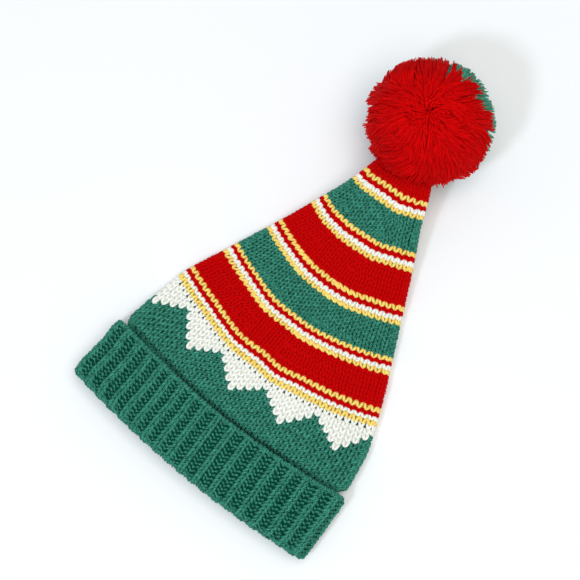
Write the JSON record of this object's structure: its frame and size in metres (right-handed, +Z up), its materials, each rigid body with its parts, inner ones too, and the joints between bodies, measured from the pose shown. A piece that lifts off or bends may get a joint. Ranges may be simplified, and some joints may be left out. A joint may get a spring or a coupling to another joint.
{
  "type": "knitted christmas beanie",
  "caption": "Knitted elf-style winter hat lying flat, with a striped tapering crown, a turned-up ribbed cuff and a yarn pompom; worn on the head.",
  "frame": {"origin": "on the resting surface, under the middle of the hat's box", "axes": "+Z up from the surface, +Y along the lying hat from the mouth to the pompom, +X across it"},
  "size_m": [0.2286, 0.39, 0.0986],
  "materials": {
    "green_yarn": "matt spun acrylic yarn",
    "red_yarn": "matt spun acrylic yarn",
    "white_yarn": "matt spun acrylic yarn",
    "yellow_yarn": "matt spun acrylic yarn"
  },
  "bodies": {
    "root": {"crown": "green_yarn", "cuff": "green_yarn", "pompom_red": "red_yarn", "pompom_green": "green_yarn"}
  },
  "joints": []
}
